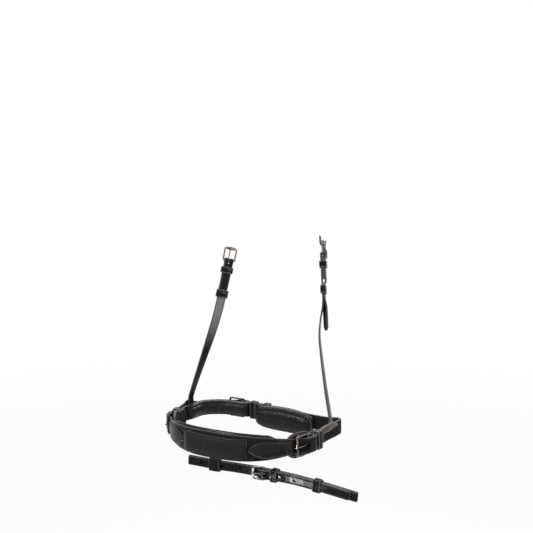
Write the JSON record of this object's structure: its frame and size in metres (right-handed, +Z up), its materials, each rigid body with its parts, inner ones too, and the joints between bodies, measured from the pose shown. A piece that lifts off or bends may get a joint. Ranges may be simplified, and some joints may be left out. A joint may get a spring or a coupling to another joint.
{
  "type": "bridle noseband",
  "caption": "Padded leather noseband with a chin pad and roll, buckled cheek straps and a flash strap with its own buckle.",
  "frame": {"origin": "middle of the ring that the horse's nose and jaw fill, level with the middle of the straps", "axes": "-Y the way the horse faces, +X its near (left) side, +Z up"},
  "size_m": [0.298, 0.182, 0.283],
  "materials": {
    "leather": "waxed black bridle leather",
    "soft_leather": "soft black padded leather",
    "headpiece_leather": "waxed black leather",
    "steel": "polished stainless"
  },
  "bodies": {
    "ring": {"nosepiece_strap": "leather", "nosepiece_liner": "soft_leather", "nose_pad": "soft_leather", "near_leaf_overlay": "leather", "off_leaf_overlay": "leather", "near_buckle_guard": "leather", "off_buckle_guard": "leather", "near_side_strap": "leather", "off_side_strap": "leather", "near_side_keeper": "leather", "off_side_keeper": "leather", "near_cheek_link": "leather", "off_cheek_link": "leather", "chin_pad": "soft_leather", "chin_roll": "soft_leather", "chin_keeper": "leather"},
    "near_cheek": {"near_cheek_strap": "leather", "near_cheek_keeper": "leather", "near_headpiece_billet": "headpiece_leather"},
    "off_cheek": {"off_cheek_strap": "leather", "off_cheek_keeper": "leather"},
    "near_cheek_runner": {"near_cheek_runner": "leather"},
    "off_cheek_runner": {"off_cheek_runner": "leather"},
    "chin_runner": {"chin_runner": "leather"},
    "flash_loop": {"flash_loop": "leather"},
    "flash": {"flash_strap": "leather", "flash_keeper": "leather"},
    "flash_runner": {"flash_runner": "leather"},
    "near_side_buckle": {"near_side_buckle_frame": "steel"},
    "near_side_buckle_roller": {"near_side_buckle_roller": "steel"},
    "near_side_buckle_prong": {"near_side_buckle_prong": "steel"},
    "off_side_buckle": {"off_side_buckle_frame": "steel"},
    "off_side_buckle_roller": {"off_side_buckle_roller": "steel"},
    "off_side_buckle_prong": {"off_side_buckle_prong": "steel"},
    "chin_buckle": {"chin_buckle_frame": "steel"},
    "chin_buckle_roller": {"chin_buckle_roller": "steel"},
    "chin_buckle_prong": {"chin_buckle_prong": "steel"},
    "near_cheek_buckle": {"near_cheek_buckle_frame": "steel"},
    "near_cheek_buckle_roller": {"near_cheek_buckle_roller": "steel"},
    "near_cheek_buckle_prong": {"near_cheek_buckle_prong": "steel"},
    "off_cheek_buckle": {"off_cheek_buckle_frame": "steel"},
    "off_cheek_buckle_roller": {"off_cheek_buckle_roller": "steel"},
    "off_cheek_buckle_prong": {"off_cheek_buckle_prong": "steel"},
    "flash_buckle": {"flash_buckle_frame": "steel"},
    "flash_buckle_roller": {"flash_buckle_roller": "steel"},
    "flash_buckle_prong": {"flash_buckle_prong": "steel"}
  },
  "joints": [
    {"name": "near_cheek_fold", "type": "hinge", "parent": "ring", "child": "near_cheek", "pos_m": [0.108, 0.02819, 0.02175], "axis": [-0.1177, 0.9458, -0.3027], "range_deg": [-35, 40]},
    {"name": "off_cheek_fold", "type": "hinge", "parent": "ring", "child": "off_cheek", "pos_m": [-0.10123, 0.03757, 0.02169], "axis": [-0.0154, -0.9681, 0.2503], "range_deg": [-35, 40]},
    {"name": "near_side_buckle_pivot", "type": "hinge", "parent": "ring", "child": "near_side_buckle", "pos_m": [0.10249, -0.01811, 0.00211], "axis": [-0.0057, -0.0189, 0.9998], "range_deg": [0, 3]},
    {"name": "near_side_buckle_prong_pivot", "type": "hinge", "parent": "near_side_buckle", "child": "near_side_buckle_prong", "pos_m": [0.10249, -0.01811, 0.00211], "axis": [-0.0057, -0.0189, 0.9998], "range_deg": [0, 3]},
    {"name": "near_side_buckle_roller_spin", "type": "hinge", "parent": "near_side_buckle", "child": "near_side_buckle_roller", "pos_m": [0.0938, -0.03777, 0.00169], "axis": [-0.0057, -0.0189, 0.9998], "continuous": true},
    {"name": "off_side_buckle_pivot", "type": "hinge", "parent": "ring", "child": "off_side_buckle", "pos_m": [-0.09902, -0.01494, 0.00137], "axis": [0.0035, -0.0164, -0.9999], "range_deg": [0, 3]},
    {"name": "off_side_buckle_prong_pivot", "type": "hinge", "parent": "off_side_buckle", "child": "off_side_buckle_prong", "pos_m": [-0.09902, -0.01494, 0.00137], "axis": [0.0035, -0.0164, -0.9999], "range_deg": [0, 3]},
    {"name": "off_side_buckle_roller_spin", "type": "hinge", "parent": "off_side_buckle", "child": "off_side_buckle_roller", "pos_m": [-0.09216, -0.03531, 0.00173], "axis": [0.0035, -0.0164, -0.9999], "continuous": true},
    {"name": "chin_buckle_pivot", "type": "hinge", "parent": "ring", "child": "chin_buckle", "pos_m": [-0.04296, 0.07952, -0.00051], "axis": [-0.013, -0.0009, -0.9999], "range_deg": [0, 3]},
    {"name": "chin_buckle_prong_pivot", "type": "hinge", "parent": "chin_buckle", "child": "chin_buckle_prong", "pos_m": [-0.04296, 0.07952, -0.00051], "axis": [-0.013, -0.0009, -0.9999], "range_deg": [0, 3]},
    {"name": "chin_buckle_roller_spin", "type": "hinge", "parent": "chin_buckle", "child": "chin_buckle_roller", "pos_m": [-0.06443, 0.07843, -0.00023], "axis": [-0.013, -0.0009, -0.9999], "continuous": true},
    {"name": "near_cheek_buckle_pivot", "type": "hinge", "parent": "near_cheek", "child": "near_cheek_buckle", "pos_m": [0.07009, 0.08412, 0.21929], "axis": [-0.2996, 0.9024, -0.3096], "range_deg": [0, 3]},
    {"name": "near_cheek_buckle_prong_pivot", "type": "hinge", "parent": "near_cheek_buckle", "child": "near_cheek_buckle_prong", "pos_m": [0.07009, 0.08412, 0.21929], "axis": [-0.2996, 0.9024, -0.3096], "range_deg": [0, 3]},
    {"name": "near_cheek_buckle_roller_spin", "type": "hinge", "parent": "near_cheek_buckle", "child": "near_cheek_buckle_roller", "pos_m": [0.06818, 0.08887, 0.23497], "axis": [-0.2996, 0.9024, -0.3096], "continuous": true},
    {"name": "off_cheek_buckle_pivot", "type": "hinge", "parent": "off_cheek", "child": "off_cheek_buckle", "pos_m": [-0.06928, 0.08536, 0.19965], "axis": [-0.7152, -0.6542, 0.246], "range_deg": [-30, 30]},
    {"name": "off_cheek_buckle_prong_pivot", "type": "hinge", "parent": "off_cheek_buckle", "child": "off_cheek_buckle_prong", "pos_m": [-0.06928, 0.08536, 0.19965], "axis": [-0.7152, -0.6542, 0.246], "range_deg": [0, 70]},
    {"name": "off_cheek_buckle_roller_spin", "type": "hinge", "parent": "off_cheek_buckle", "child": "off_cheek_buckle_roller", "pos_m": [-0.06835, 0.09026, 0.21538], "axis": [-0.7152, -0.6542, 0.246], "continuous": true},
    {"name": "flash_buckle_pivot", "type": "hinge", "parent": "flash", "child": "flash_buckle", "pos_m": [0.06816, -0.07434, -0.02515], "axis": [0.0197, 0.0001, 0.9998], "range_deg": [0, 4]},
    {"name": "flash_buckle_prong_pivot", "type": "hinge", "parent": "flash_buckle", "child": "flash_buckle_prong", "pos_m": [0.06816, -0.07434, -0.02515], "axis": [0.0197, 0.0001, 0.9998], "range_deg": [0, 4]},
    {"name": "flash_buckle_roller_spin", "type": "hinge", "parent": "flash_buckle", "child": "flash_buckle_roller", "pos_m": [0.05323, -0.07576, -0.02485], "axis": [0.0197, 0.0001, 0.9998], "continuous": true},
    {"name": "near_cheek_runner_slide", "type": "slide", "parent": "near_cheek", "child": "near_cheek_runner", "axis": [-0.1862, 0.2636, 0.9465], "range_m": [-0.005, 0]},
    {"name": "off_cheek_runner_slide", "type": "slide", "parent": "off_cheek", "child": "off_cheek_runner", "axis": [0.1018, 0.2457, 0.964], "range_m": [-0.018, 0.018]},
    {"name": "chin_runner_slide", "type": "slide", "parent": "ring", "child": "chin_runner", "axis": [-0.9997, 0.0228, 0.0036], "range_m": [-0.01, 0.009]},
    {"name": "flash_loop_swing", "type": "hinge", "parent": "ring", "child": "flash_loop", "pos_m": [-0.00151, -0.0768, -0.0159], "axis": [1, 0, 0], "range_deg": [-12, 12]},
    {"name": "flash_slide", "type": "slide", "parent": "flash_loop", "child": "flash", "axis": [0.9973, 0.0612, -0.0399], "range_m": [-0.006, 0.026]},
    {"name": "flash_runner_slide", "type": "slide", "parent": "flash", "child": "flash_runner", "axis": [0.996, -0.0512, -0.0738], "range_m": [-0.018, 0.035]}
  ]
}
